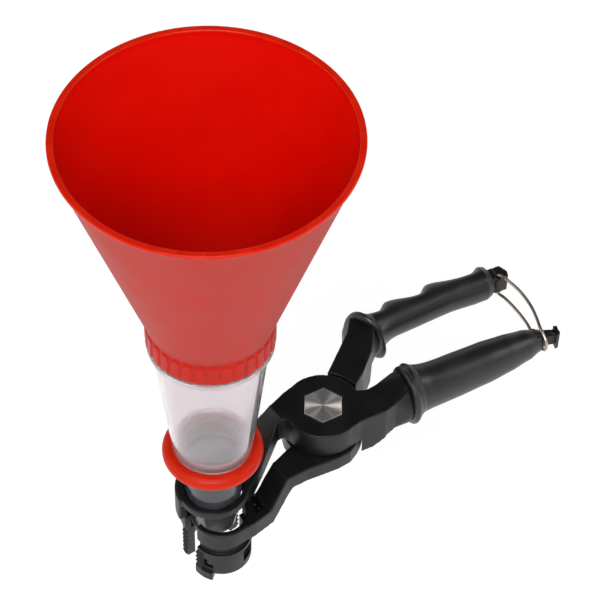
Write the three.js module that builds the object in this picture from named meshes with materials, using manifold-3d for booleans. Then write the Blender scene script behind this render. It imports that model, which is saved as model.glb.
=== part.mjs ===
// Clamp funnel: a red bowl, a clear sight tube and a smoky spout, carried by a pair of
// crossed clamp levers whose half-round jaws spread inside a filler neck.
//
// Millimetres, +Z up. The origin lies on the funnel axis, in the plane of the stop faces
// that rest on the rim of the filler neck. +X runs from the funnel axis to the handles.
// The upper lever carries the clamp ring, the rear jaw and the front handle. The lower
// lever crosses under it and carries the front jaw and the rear handle.

import * as THREE from "three";
import { mergeVertices } from "three/addons/utils/BufferGeometryUtils.js";
import Module from "manifold-3d";

const wasm = await Module();
wasm.setup();

// ---------------------------------------------------------------- driving dimensions
const GAP = 0.3; // clearance between touching pieces
const DEG = Math.PI / 180;

// Funnel bowl
const RIM_Z = 276.5;
const RIM_R = 67.7;
const RIM_LIP = 3.1; // radial width of the lip
const RIM_DEPTH = 1.8; // height of the lip's outer edge
const BOWL_WALL = 2.1;
const SKIRT_TOP_Z = 158.5;
const SKIRT_R = 29.8;
const SKIRT_BORE_R = 27.6;
const OUTLET_R = 22.5;
const RIB_COUNT = 31;
const RIB_PROUD = 0.7;

// Sight tube
const FLANGE_TOP_Z = 144.6;
const FLANGE_H = 3.4;
const FLANGE_R = 30.3;
const TUBE_TOP_R = 28.1;
const TUBE_BASE_Z = 61.6;
const TUBE_BASE_R = 19.8;
const TUBE_WALL = 2.2;
const UPPER_NECK_R = 27.3;
const LOWER_NECK_R = 16.4;
const LOWER_NECK_Z = 52.7;
const TUBE_HOLE_R = 14.4;

// Tube nut
const NUT_R = 24.9;
const NUT_TOP_Z = TUBE_BASE_Z - GAP;
const NUT_FLANGE_Z = 55.0;
const NUT_HUB_R = 18.4;
const NUT_HUB_Z = 47.5;
const NUT_LIP_H = 1.6;

// Spout
const SPOUT_FLANGE_Z = 49.4;
const SPOUT_FLANGE_H = 1.7;
const SPOUT_TOP_R = 15.0;
const SPOUT_RING_R = 14.5; // radius where it seats in the clamp ring
const SPOUT_END_R = 11.05;
const SPOUT_END_Z = -0.7;
const SPOUT_WALL = 1.5;

// Clamp ring and jaws
const RING_TOP_Z = 26.5;
const RING_FRONT_H = 4.7;
const RING_R = 18.2;
const RING_BLOCK_R = 19.5; // thicker rear wall below the ring
const RING_BLOCK_Z = 9.5;
const RING_BORE_R = 14.8;
const UPPER_ARM_Z = 14.6; // underside of the upper arm beside the ring
const JAW_R = 15.2;
const JAW_STEM_R = 16.5;
const JAW_INNER_R = 10.8;
const JAW_BOTTOM_Z = -22.5;
const REAR_JAW_BOTTOM_Z = -24.7;
const JAW_LINER_R = 12.9;
const REAR_JAW_Y = 1.6; // rear jaw axis at rest
const FRONT_JAW_Y = -6.8; // front jaw axis at rest
const BAND_R = 15.5;
const BAND_BORE_R = 12.4;
const BAND_TOP_Z = 11.5;
const NECK_GROOVE_R = 13.6; // groove for the lip of the filler neck
const NECK_GROOVE_H = 6.5;
const TOOTH_PITCH = 3.4;
const TOOTH_PROUD = 1.3;
const FOOT_DEPTH = 4.8; // the front jaw's foot reaches this far below it
const REAR_TOOTH_ARC = 14 * DEG;
const FRONT_TOOTH_ARC = 16 * DEG;

// Pivot
const PIVOT = new THREE.Vector2(66, -2.3);
const LEVER_TOP_Z = 44.5;
const LEVER_MID_Z = 28.0;
const LEVER_BOTTOM_Z = 17.9;
const UPPER_DISC_R = 20.0;
const LOWER_DISC_R = 20.7;
const SLIT = 1.2; // gap between a disc and the other lever's handle
const BOLT_R = 6.0;
const BOLT_FLATS = 19.0;
const BOLT_HEAD_Z = 39.2;
const BOLT_TURN = -37.2 * DEG;
const NUT_BODY_Z = 22.7;
const HEX_RECESS_FLATS = 19.6;
const SPRING_POCKET_R = 13.0;
const SPRING_POCKET_Z = 35.6;
const SPRING_R = 10.6;
const SPRING_WIRE_R = 0.95;
const SPRING_TURNS = 3.5;

// Handles
const GRIP_Z = 31.2;
const CORE_HALF_W = 3.6;
const CORE_HALF_H = 6.4;
const NECK_HALF_W = 2.4;
const NECK_HALF_H = 4.2;
const BAIL_AXIS = new THREE.Vector2(197.2, 18.3);
const BAIL_WIRE_R = 0.9;
const BAIL_HALF_H = 7.0;
const BAIL_HOLE_R = 1.2;

// ---------------------------------------------------------------- materials
const plastic = (color, roughness) =>
  new THREE.MeshStandardMaterial({ color, roughness, metalness: 0 });
const metal = (color, roughness) =>
  new THREE.MeshStandardMaterial({ color, roughness, metalness: 1 });
const redPlastic = plastic(0xc01204, 0.5);
const nutPlastic = plastic(0xd22c0c, 0.35);
const blackPlastic = plastic(0x1b1a1b, 0.5);
const blackRubber = plastic(0x1e1d1e, 0.4);
const sealRubber = plastic(0x141414, 0.8);
const clearPlastic = new THREE.MeshStandardMaterial({
  color: 0xf2eff2,
  roughness: 0.05,
  metalness: 0,
  transparent: true,
  opacity: 0.3,
});
const smokyPlastic = new THREE.MeshStandardMaterial({
  color: 0x8c8a94,
  roughness: 0.1,
  metalness: 0,
  transparent: true,
  opacity: 0.5,
});
const steel = metal(0xb9b4ae, 0.3);
const springSteel = metal(0x8d8378, 0.35);

// ---------------------------------------------------------------- solid helpers
function toSolid(geometry) {
  const bare = geometry.clone();
  bare.deleteAttribute("normal");
  bare.deleteAttribute("uv");
  const merged = mergeVertices(bare, 1e-4);
  return new wasm.Manifold(
    new wasm.Mesh({
      numProp: 3,
      vertProperties: new Float32Array(merged.attributes.position.array),
      triVerts: new Uint32Array(merged.index.array),
    }),
  );
}

function toGeometry(solid) {
  const mesh = solid.getMesh();
  const geometry = new THREE.BufferGeometry();
  geometry.setAttribute("position", new THREE.BufferAttribute(mesh.vertProperties, 3));
  geometry.setIndex(new THREE.BufferAttribute(mesh.triVerts, 1));
  geometry.computeVertexNormals();
  return geometry;
}

const join = (...solids) => solids.reduce((a, b) => a.add(b));
const cut = (solid, ...tools) => tools.reduce((a, b) => a.subtract(b), solid);
const common = (a, b) => a.intersect(b);

function polygon(points) {
  return new THREE.Shape(points.map(([x, y]) => new THREE.Vector2(x, y)));
}

// Plan outline (x, y) raised from z0 to z1.
function prism(shape, z0, z1, curveSegments = 12) {
  const outline = Array.isArray(shape) ? polygon(shape) : shape;
  const geometry = new THREE.ExtrudeGeometry(outline, {
    depth: z1 - z0,
    bevelEnabled: false,
    curveSegments,
  });
  geometry.translate(0, 0, z0);
  return toSolid(geometry);
}

// Side outline (x, z) spread from y0 to y1.
function sideSlab(points, y0, y1) {
  const geometry = new THREE.ExtrudeGeometry(polygon(points), {
    depth: y1 - y0,
    bevelEnabled: false,
  });
  geometry.rotateX(Math.PI / 2);
  geometry.translate(0, y1, 0);
  return toSolid(geometry);
}

function block(x0, x1, y0, y1, z0, z1) {
  const geometry = new THREE.BoxGeometry(x1 - x0, y1 - y0, z1 - z0);
  geometry.translate((x0 + x1) / 2, (y0 + y1) / 2, (z0 + z1) / 2);
  return toSolid(geometry);
}

// Closed (radius, height) outline turned round a vertical axis at (x, y).
function turned(profile, x = 0, y = 0, segments = 48) {
  const outline = profile.map(([r, z]) => new THREE.Vector2(r, z));
  if (THREE.ShapeUtils.isClockWise(outline)) {
    outline.reverse();
  }
  outline.push(outline[0]);
  const geometry = new THREE.LatheGeometry(outline, segments);
  geometry.rotateX(Math.PI / 2);
  geometry.translate(x, y, 0);
  return toSolid(geometry);
}

function cylinder(radius, z0, z1, x = 0, y = 0, segments = 40) {
  const geometry = new THREE.CylinderGeometry(radius, radius, z1 - z0, segments);
  geometry.rotateX(Math.PI / 2);
  geometry.translate(x, y, (z0 + z1) / 2);
  return toSolid(geometry);
}

function tube(outer, inner, z0, z1, x = 0, y = 0, segments = 40) {
  return cut(
    cylinder(outer, z0, z1, x, y, segments),
    cylinder(inner, z0 - 1, z1 + 1, x, y, segments),
  );
}

function hexagon(flats, z0, z1) {
  const geometry = new THREE.CylinderGeometry(
    flats / Math.sqrt(3), flats / Math.sqrt(3), z1 - z0, 6,
  );
  geometry.rotateX(Math.PI / 2);
  geometry.rotateZ(BOLT_TURN);
  geometry.translate(PIVOT.x, PIVOT.y, (z0 + z1) / 2);
  return toSolid(geometry);
}

// Sector of a ring, between two angles, about a vertical axis.
function sector(outer, inner, start, end, z0, z1, x = 0, y = 0) {
  const shape = new THREE.Shape();
  shape.absarc(x, y, outer, start, end, false);
  shape.absarc(x, y, inner, end, start, true);
  return prism(shape, z0, z1, 10);
}

function pipe(curve, radius, steps, sides = 8) {
  const section = new THREE.Shape();
  section.absarc(0, 0, radius, 0, 2 * Math.PI, false);
  const geometry = new THREE.ExtrudeGeometry(section, {
    steps,
    extrudePath: curve,
    bevelEnabled: false,
    curveSegments: sides,
  });
  return toSolid(geometry);
}

function piece(name, solid, material) {
  const mesh = new THREE.Mesh(toGeometry(solid), material);
  mesh.name = name;
  return mesh;
}

// ---------------------------------------------------------------- funnel
function funnelBowl() {
  const lipInnerR = RIM_R - RIM_LIP;
  const coneTopR = RIM_R - 1.3;
  const ceiling = SKIRT_TOP_Z - 0.5;
  const neckTop = SKIRT_TOP_Z + 0.9;
  const bowl = turned(
    [
      [lipInnerR, RIM_Z - 0.6],
      [lipInnerR + 0.6, RIM_Z],
      [RIM_R - 0.8, RIM_Z],
      [RIM_R, RIM_Z - 0.8],
      [RIM_R, RIM_Z - RIM_DEPTH],
      [coneTopR, RIM_Z - RIM_DEPTH - 0.6],
      [SKIRT_R, SKIRT_TOP_Z],
      [SKIRT_R, FLANGE_TOP_Z + GAP],
      [SKIRT_BORE_R, FLANGE_TOP_Z + GAP],
      [SKIRT_BORE_R, ceiling],
      [OUTLET_R + BOWL_WALL, ceiling],
      [OUTLET_R + BOWL_WALL, FLANGE_TOP_Z + 2],
      [OUTLET_R, FLANGE_TOP_Z + 2],
      [OUTLET_R, neckTop],
      [SKIRT_R - BOWL_WALL, SKIRT_TOP_Z + 3.5],
      [coneTopR - BOWL_WALL, RIM_Z - RIM_DEPTH],
      [lipInnerR, RIM_Z - 1.6],
    ],
    0, 0, 64,
  );
  return join(bowl, ribbedRing());
}

// Upright grip ribs round the screw skirt: a ring with a ribbed outline.
function ribbedRing() {
  const outline = [];
  const shares = [
    [0.0, 0],
    [0.1, RIB_PROUD],
    [0.8, RIB_PROUD],
    [0.9, 0],
  ];
  for (let i = 0; i < RIB_COUNT; i += 1) {
    shares.forEach(([share, proud]) => {
      const angle = (2 * Math.PI * (i + share)) / RIB_COUNT;
      const r = SKIRT_R + 0.1 + proud;
      outline.push([r * Math.cos(angle), r * Math.sin(angle)]);
    });
  }
  const bottom = FLANGE_TOP_Z + GAP + 0.6;
  const top = SKIRT_TOP_Z - 1.0;
  const bore = cylinder(SKIRT_R - 1.2, bottom - 1, top + 1, 0, 0, 64);
  return cut(prism(outline, bottom, top), bore);
}

function bowlSeal() {
  const top = SKIRT_TOP_Z - 0.5 - GAP;
  return tube(UPPER_NECK_R, OUTLET_R + BOWL_WALL + GAP, top - 1.2, top);
}

function sightTube() {
  const flangeZ = FLANGE_TOP_Z - FLANGE_H;
  const floorZ = TUBE_BASE_Z + 2.6;
  const neckTop = SKIRT_TOP_Z - 0.5 - 2 * GAP - 1.2;
  return turned([
    [UPPER_NECK_R, neckTop],
    [UPPER_NECK_R, FLANGE_TOP_Z],
    [FLANGE_R, FLANGE_TOP_Z],
    [FLANGE_R, flangeZ],
    [TUBE_TOP_R, flangeZ],
    [TUBE_BASE_R, TUBE_BASE_Z + 0.6],
    [TUBE_BASE_R - 0.6, TUBE_BASE_Z],
    [LOWER_NECK_R, TUBE_BASE_Z],
    [LOWER_NECK_R, LOWER_NECK_Z],
    [TUBE_HOLE_R, LOWER_NECK_Z],
    [TUBE_HOLE_R, floorZ],
    [TUBE_BASE_R - TUBE_WALL, floorZ + 0.4],
    [UPPER_NECK_R - TUBE_WALL, flangeZ],
    [UPPER_NECK_R - TUBE_WALL, neckTop],
  ]);
}

function tubeNut() {
  const lipTop = NUT_HUB_Z + NUT_LIP_H;
  const boreR = LOWER_NECK_R + GAP;
  return turned([
    [boreR, NUT_TOP_Z],
    [NUT_R - 3.0, NUT_TOP_Z],
    [NUT_R - 1.0, NUT_TOP_Z - 1.2],
    [NUT_R, NUT_TOP_Z - 2.8],
    [NUT_R, NUT_FLANGE_Z + 1.0],
    [NUT_R - 0.9, NUT_FLANGE_Z],
    [NUT_HUB_R, NUT_FLANGE_Z],
    [NUT_HUB_R, NUT_HUB_Z],
    [SPOUT_TOP_R + GAP, NUT_HUB_Z],
    [SPOUT_TOP_R + GAP, lipTop],
    [boreR, lipTop],
  ]);
}

function spoutSeal() {
  const bottom = SPOUT_FLANGE_Z + SPOUT_FLANGE_H + GAP;
  return tube(LOWER_NECK_R, TUBE_HOLE_R, bottom, LOWER_NECK_Z - GAP);
}

function spout() {
  const top = SPOUT_FLANGE_Z + SPOUT_FLANGE_H;
  return turned([
    [LOWER_NECK_R, top],
    [LOWER_NECK_R, SPOUT_FLANGE_Z],
    [SPOUT_TOP_R, SPOUT_FLANGE_Z],
    [SPOUT_RING_R, RING_TOP_Z],
    [SPOUT_END_R, SPOUT_END_Z],
    [SPOUT_END_R - SPOUT_WALL, SPOUT_END_Z],
    [SPOUT_RING_R - SPOUT_WALL, RING_TOP_Z],
    [SPOUT_TOP_R - SPOUT_WALL, top],
  ]);
}

// ---------------------------------------------------------------- handles
// Centre lines of the two handles, from the guard to the end of the core.
const frontLine = new THREE.SplineCurve([
  new THREE.Vector2(104.6, -12.4),
  new THREE.Vector2(120.4, -15.2),
  new THREE.Vector2(145, -18.2),
  new THREE.Vector2(170, -21.6),
  new THREE.Vector2(194, -24.8),
]);
const rearLine = new THREE.SplineCurve([
  new THREE.Vector2(104, 22.5),
  new THREE.Vector2(119, 31.4),
  new THREE.Vector2(142, 29.6),
  new THREE.Vector2(168, 26.4),
  new THREE.Vector2(198, 20.8),
]);

// Upright plate that follows a centre line between two of its points.
function strip(line, from, to, halfWidth, z0, z1) {
  const left = [];
  const right = [];
  const steps = 12;
  for (let i = 0; i <= steps; i += 1) {
    const t = from + ((to - from) * i) / steps;
    const p = line.getPoint(t);
    const along = line.getTangent(t);
    left.push([p.x - along.y * halfWidth, p.y + along.x * halfWidth]);
    right.unshift([p.x + along.y * halfWidth, p.y - along.x * halfWidth]);
  }
  return prism([...right.reverse(), ...left.reverse()], z0, z1);
}

function core(line, extra = 0) {
  return strip(
    line, 0, line.coreEnd, CORE_HALF_W + extra,
    GRIP_Z - CORE_HALF_H - extra, GRIP_Z + CORE_HALF_H + extra,
  );
}

// Slimmer bar that leads out of the front grip to the T-shaped head.
function frontNeck(extra = 0) {
  const halfWidth = NECK_HALF_W + extra;
  const z0 = GRIP_Z - NECK_HALF_H - extra;
  const z1 = GRIP_Z + NECK_HALF_H + extra;
  const end = frontLine.getPoint(1);
  return join(
    strip(frontLine, 0.9, 1, halfWidth, z0, z1),
    prism(
      [
        [end.x - 1, end.y - halfWidth],
        [end.x + 2, end.y - halfWidth],
        [end.x + 5.5, end.y - 1.0],
        [end.x + 5.5, end.y + 3.4],
        [end.x - 1, end.y + halfWidth],
      ],
      z0, z1,
    ),
  );
}

// Turned grip body bent along its centre line. Sections are oval. The outer side takes the
// finger waves. The flare goes to the upper left side, or with -1 to the lower right.
function gripBody(line, radii, wave, flare, flareSide) {
  const profile = [[0, 0]];
  radii.forEach(([s, r]) => profile.push([r, s]));
  profile.push([0, radii[radii.length - 1][0]]);
  const points = profile.map(([r, s]) => new THREE.Vector2(r, s));
  const geometry = new THREE.LatheGeometry(points, 24);
  const position = geometry.attributes.position;
  const from = line.fromT;
  const to = line.toT;
  for (let i = 0; i < position.count; i += 1) {
    const s = position.getY(i);
    const across = -position.getX(i);
    const up = position.getZ(i);
    const t = from + (to - from) * s;
    const p = line.getPoint(t);
    const along = line.getTangent(t);
    const push = across > 0 ? wave(s) * (across / 9) : 0;
    const radius = Math.hypot(across, up);
    const facing = Math.max(0, flareSide * (across * 0.8 + up * 0.6));
    const swell = radius > 0 ? 1 + (flare(s) * facing) / (radius * radius) : 1;
    const side = across * 0.95 * swell + push;
    const height = up * 1.08 * swell;
    position.setXYZ(i, p.x - along.y * side, p.y + along.x * side, GRIP_Z + height);
  }
  return toSolid(geometry);
}

// The two corners where a handle root meets its grip, front side first.
function shankEnd(line, halfWidth) {
  const p = line.getPoint(line.fromT);
  const along = line.getTangent(line.fromT);
  const x = p.x - along.x * GAP;
  const y = p.y - along.y * GAP;
  return [
    [x + along.y * halfWidth, y - along.x * halfWidth],
    [x - along.y * halfWidth, y + along.x * halfWidth],
  ];
}

// Flare of a handle root: from its own section to an oval face against the grip.
function shankFlare(line, radius, section) {
  const p = line.getPoint(line.fromT);
  const along = line.getTangent(line.fromT);
  const geometry = new THREE.CylinderGeometry(radius, radius, 1.6, 32);
  geometry.rotateZ(Math.PI / 2);
  geometry.scale(1, 0.95, 1.08);
  geometry.rotateZ(Math.atan2(along.y, along.x));
  geometry.translate(p.x - along.x * (GAP + 0.8), p.y - along.y * (GAP + 0.8), GRIP_Z);
  return wasm.Manifold.hull([toSolid(geometry), section]);
}

frontLine.fromT = 0.1;
frontLine.toT = 0.97;
frontLine.coreEnd = 0.935;
rearLine.fromT = 0.2;
rearLine.toT = 0.955;
rearLine.coreEnd = 0.985;

const FRONT_GRIP_RADII = [
  [0, 13.4],
  [0.01, 14.8],
  [0.035, 15.6],
  [0.06, 15.0],
  [0.09, 12.9],
  [0.13, 11.6],
  [0.2, 11.2],
  [0.4, 11.4],
  [0.6, 11.0],
  [0.75, 9.9],
  [0.87, 8.3],
  [0.95, 6.2],
  [1, 4.0],
];
const REAR_GRIP_RADII = [
  [0, 11.2],
  [0.01, 12.2],
  [0.04, 12.6],
  [0.07, 11.8],
  [0.1, 10.2],
  [0.15, 9.0],
  [0.3, 8.5],
  [0.45, 8.7],
  [0.6, 8.6],
  [0.75, 8.3],
  [0.88, 8.9],
  [0.96, 8.4],
  [1, 6.2],
];
const FIRST_FINGER_CREST = 0.33; // share of the grip's length
const FINGER_PITCH = 0.33;
const FINGER_HEIGHT = 2.6;
const FINGER_RISE = 0.32; // steep part of a wave, on its side towards the guard
const THUMB_FLARE = 4.2;
const PALM_FLARE = 3.2;

// Waves with a steep side towards the guard and a long side towards the end.
function fingerWave(s) {
  const phase = (s - FIRST_FINGER_CREST) / FINGER_PITCH;
  const share = phase - Math.floor(phase);
  const fall = 1 - FINGER_RISE;
  const turn = share < fall ? (0.5 * share) / fall : 0.5 + (0.5 * (share - fall)) / FINGER_RISE;
  const fade = THREE.MathUtils.smoothstep(s, 0.05, 0.14);
  return fade * FINGER_HEIGHT * Math.cos(2 * Math.PI * turn);
}

// Extra radius below and inside, next to the rear guard.
function thumbFlare(s) {
  return THUMB_FLARE * THREE.MathUtils.smoothstep(s, 0.02, 0.09) * Math.exp(-(s - 0.08) / 0.12);
}

// Extra radius above and inside, next to the front guard.
function palmFlare(s) {
  const fall = Math.max(0, s - 0.09) / 0.16;
  return PALM_FLARE * THREE.MathUtils.smoothstep(s, 0.05, 0.09) * Math.exp(-(fall ** 1.5));
}

function frontGrip() {
  const body = gripBody(frontLine, FRONT_GRIP_RADII, () => 0, palmFlare, 1);
  return cut(body, core(frontLine, GAP), frontNeck(GAP));
}

function rearGrip() {
  const body = gripBody(rearLine, REAR_GRIP_RADII, fingerWave, thumbFlare, -1);
  return cut(body, core(rearLine, GAP));
}

// ---------------------------------------------------------------- jaws
// Rows of teeth on the outside of a half-round jaw, next to one of its cut edges.
function jawTeeth(y, start, arc, bottom, top) {
  const rows = [];
  for (let z = bottom; z + TOOTH_PITCH <= top; z += TOOTH_PITCH) {
    const tooth = turned(
      [
        [JAW_R - 1, z],
        [JAW_R, z],
        [JAW_R + TOOTH_PROUD, z + TOOTH_PITCH * 0.32],
        [JAW_R + TOOTH_PROUD, z + TOOTH_PITCH * 0.42],
        [JAW_R, z + TOOTH_PITCH * 0.75],
        [JAW_R - 1, z + TOOTH_PITCH * 0.75],
      ],
      0, y, 40,
    );
    const wedge = sector(JAW_R + 2, JAW_R - 2, start, start + arc, z - 1, z + TOOTH_PITCH + 1, 0, y);
    rows.push(common(tooth, wedge));
  }
  return rows;
}

function rearHalf(y) {
  return block(-40, 40, y, 60, -60, 60);
}

function frontHalf(y) {
  return block(-40, 40, -60, y, -60, 60);
}

// The rear jaw hangs under the clamp ring: a stem, then the toothed half shell.
function rearJaw() {
  const y = REAR_JAW_Y;
  const shell = tube(JAW_R, JAW_INNER_R, REAR_JAW_BOTTOM_Z, -1.5, 0, y);
  const shoulder = tube(JAW_R, JAW_LINER_R, -1.6, 0.05, 0, y);
  const stem = tube(JAW_STEM_R, JAW_LINER_R, 0, RING_BLOCK_Z - GAP, 0, y);
  const half = common(join(shell, shoulder, stem), rearHalf(y));
  const top = -2.5;
  const teeth = [
    ...jawTeeth(y, Math.PI - REAR_TOOTH_ARC, REAR_TOOTH_ARC, REAR_JAW_BOTTOM_Z + 1, top),
    ...jawTeeth(y, 0, REAR_TOOTH_ARC, REAR_JAW_BOTTOM_Z + 1, top),
  ];
  return join(half, ...teeth);
}

// The front jaw hangs under the band. A groove above it takes the lip of the neck, and
// a foot at its left end reaches a little lower.
function frontJaw() {
  const y = FRONT_JAW_Y;
  const grooveZ = -NECK_GROOVE_H;
  const shell = tube(JAW_R, JAW_INNER_R, JAW_BOTTOM_Z, grooveZ, 0, y);
  const groove = tube(NECK_GROOVE_R, JAW_INNER_R, grooveZ - 0.1, -GAP, 0, y);
  const foot = sector(
    JAW_R + TOOTH_PROUD, JAW_INNER_R, Math.PI, Math.PI + 38 * DEG,
    JAW_BOTTOM_Z - FOOT_DEPTH, JAW_BOTTOM_Z + 1, 0, y,
  );
  const half = common(join(shell, groove, foot), frontHalf(y));
  const notch = join(
    sector(JAW_R + 2, JAW_R - 2, Math.PI + 18 * DEG, Math.PI + 26 * DEG, -18.3, -12.3, 0, y),
    sector(JAW_R + 2, JAW_R - 2, Math.PI + 24 * DEG, Math.PI + 38 * DEG, -18.3, -15.4, 0, y),
  );
  const recess = sector(JAW_R + 2, JAW_R - 2.2, -78 * DEG, -46 * DEG, -18, -9, 0, y);
  const top = grooveZ - 1.5;
  const teeth = [
    ...jawTeeth(y, Math.PI, FRONT_TOOTH_ARC, JAW_BOTTOM_Z + 0.5, top),
    ...jawTeeth(y, -FRONT_TOOTH_ARC, FRONT_TOOTH_ARC, JAW_BOTTOM_Z + 0.5, top),
  ];
  const toothed = cut(join(half, ...teeth), notch, recess);
  return common(toothed, frontHalf(y));
}

// ---------------------------------------------------------------- upper lever
// Side outline of the arm: level at the disc, then down to the clamp ring.
const UPPER_ARM_SIDE = [
  [66, LEVER_TOP_Z],
  [44, LEVER_TOP_Z],
  [24, RING_TOP_Z + 0.8],
  [20, RING_TOP_Z],
  [0, RING_TOP_Z],
  [0, UPPER_ARM_Z],
  [18, UPPER_ARM_Z],
  [26, UPPER_ARM_Z + 2.8],
  [44, LEVER_MID_Z],
  [66, LEVER_MID_Z],
];
const UPPER_ARM_PLAN = [
  [60, 16.9],
  [54, 16.0],
  [45, 13.6],
  [30, 14.6],
  [16, 18.2],
  [5, 18.9],
  [0, 15.5],
  [8, -9],
  [13.5, -12.4],
  [18, -9.8],
  [34, -1.2],
  [42, 3.2],
  [45, 2.0],
  [47.5, -6],
  [60, -6],
];

function upperArm() {
  return common(prism(UPPER_ARM_PLAN, 0, 60), sideSlab(UPPER_ARM_SIDE, -40, 40));
}

function clampRing() {
  const band = cylinder(RING_R, RING_TOP_Z - RING_FRONT_H, RING_TOP_Z, 0, 0, 64);
  const wall = common(
    cylinder(RING_BLOCK_R, RING_BLOCK_Z, RING_TOP_Z - 0.5, 0, 0, 64),
    rearHalf(REAR_JAW_Y),
  );
  return join(band, wall);
}

// Front handle root: full height outside the lower disc.
function frontShank() {
  const plan = [
    [66, -22.2],
    [76, -21.4],
    [90, -23.6],
    [100, -22.6],
    ...shankEnd(frontLine, 7.0),
    [98, -7.0],
    [90, -6.6],
    [84, -3.2],
    [74, -4],
  ];
  const side = [
    [60, LEVER_BOTTOM_Z],
    [84, LEVER_BOTTOM_Z],
    [88, LEVER_BOTTOM_Z + 1.8],
    [92, LEVER_BOTTOM_Z + 4.6],
    [98, LEVER_BOTTOM_Z + 6.0],
    [112, LEVER_BOTTOM_Z + 6.0],
    [112, LEVER_TOP_Z],
    [60, LEVER_TOP_Z],
  ];
  const full = common(prism(plan, LEVER_BOTTOM_Z, LEVER_TOP_Z), sideSlab(side, -40, 20));
  const section = block(96, 97, -22.4, -7.0, LEVER_BOTTOM_Z + 6, LEVER_TOP_Z);
  const flare = shankFlare(frontLine, 13.6, section);
  const lowerClearance = cylinder(
    LOWER_DISC_R + SLIT, LEVER_BOTTOM_Z - 1, LEVER_MID_Z, PIVOT.x, PIVOT.y, 64,
  );
  return cut(join(full, flare), lowerClearance);
}

// T-shaped head beyond the neck, where the bail hooks over.
function frontHead() {
  return prism(
    [[199.2, -25.9], [201.0, -25.8], [202.7, -24.4], [202.6, -21.2], [199.6, -20.6]],
    GRIP_Z - 3.0, GRIP_Z + 3.0,
  );
}

function pivotCuts() {
  const x = PIVOT.x;
  const y = PIVOT.y;
  return [
    cylinder(BOLT_R + GAP, 0, 60, x, y),
    hexagon(HEX_RECESS_FLATS, BOLT_HEAD_Z - 1.2, 60),
    cylinder(SPRING_POCKET_R, LEVER_MID_Z - 1, SPRING_POCKET_Z, x, y),
    cylinder(1.4, SPRING_POCKET_Z - 1, SPRING_POCKET_Z + 2, x + SPRING_R, y, 12),
  ];
}

function upperLever() {
  const disc = cylinder(UPPER_DISC_R, LEVER_MID_Z, LEVER_TOP_Z, PIVOT.x, PIVOT.y, 72);
  const body = join(
    disc, upperArm(), clampRing(), frontShank(), core(frontLine), frontNeck(), frontHead(),
  );
  return cut(
    body,
    cylinder(RING_BORE_R, -1, 60, 0, 0, 64),
    ...pivotCuts(),
  );
}

// ---------------------------------------------------------------- lower lever
const LOWER_TOP_Z = LEVER_MID_Z - GAP;
const LOWER_ARM_SIDE = [
  [80, LOWER_TOP_Z],
  [31.5, LOWER_TOP_Z],
  [20.5, BAND_TOP_Z],
  [-20, BAND_TOP_Z],
  [-20, 0],
  [22.5, 0],
  [35.5, LEVER_BOTTOM_Z],
  [80, LEVER_BOTTOM_Z],
];
const LOWER_ARM_PLAN = [
  [78, -19.0],
  [74, -21.6],
  [68, -23.9],
  [61, -23.7],
  [52, -22.0],
  [44, -20.4],
  [33, -19.6],
  [20, -21.4],
  [10, -22.6],
  [0, -22.3],
  [0, -18.6],
  [9.5, -15.6],
  [12.4, -11.5],
  [12.4, -7.2],
  [21.5, -7.2],
  [33, -6.4],
  [44, -3.6],
  [58, -3.6],
];

function lowerArm() {
  return common(prism(LOWER_ARM_PLAN, -10, 60), sideSlab(LOWER_ARM_SIDE, -40, 40));
}

// Half-round band that wraps the front of the spout, with a pocket beside the arm.
function frontBand() {
  return common(
    tube(BAND_R, BAND_BORE_R, 0, BAND_TOP_Z, 0, FRONT_JAW_Y, 64),
    frontHalf(FRONT_JAW_Y),
  );
}

function bandPocket() {
  const pocket = prism(
    [[15.9, -8.4], [20.0, -8.4], [18.4, -17.4], [13.4, -17.6], [15.4, -13.2]],
    BAND_TOP_Z - 7.5, BAND_TOP_Z + 12,
  );
  const rib = block(12, 20, -14.6, -13.4, BAND_TOP_Z - 8, BAND_TOP_Z - 3.5);
  return cut(pocket, rib);
}

// Rear handle root: full height outside the upper disc.
function rearShank() {
  const plan = [
    [80, -5],
    [96, 3.4],
    [108, 12.0],
    ...shankEnd(rearLine, 7.4),
    [104, 28.8],
    [92, 21.0],
    [74, 9.4],
  ];
  const full = prism(plan, LEVER_BOTTOM_Z, LEVER_TOP_Z);
  const section = prism(
    [[104, 12], [105, 13], [100, 25], [99, 24.4]], LEVER_BOTTOM_Z + 2, LEVER_TOP_Z - 1,
  );
  const flare = shankFlare(rearLine, 11.2, section);
  const upperClearance = cylinder(
    UPPER_DISC_R + SLIT, LOWER_TOP_Z, LEVER_TOP_Z + 1, PIVOT.x, PIVOT.y, 64,
  );
  return cut(join(full, flare), upperClearance);
}

// Head at the end of the rear core, drilled for the bail.
function rearHead() {
  const head = prism(
    [[195.2, 16.2], [202.2, 15.4], [204.0, 18.6], [202.6, 24.4], [195.6, 25.0]],
    GRIP_Z - BAIL_HALF_H + BAIL_WIRE_R + 0.4, GRIP_Z + BAIL_HALF_H - BAIL_WIRE_R - 0.4,
  );
  return cut(
    head,
    cylinder(BAIL_HOLE_R, 0, 60, BAIL_AXIS.x, BAIL_AXIS.y, 16),
  );
}

// Curved slot that lets the spring's lower leg follow the lever.
function springSlot() {
  return sector(
    SPRING_R + 1.5, SPRING_R - 1.5, 161 * DEG, 197 * DEG,
    LOWER_TOP_Z - 2.6, LOWER_TOP_Z + 1, PIVOT.x, PIVOT.y,
  );
}

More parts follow.
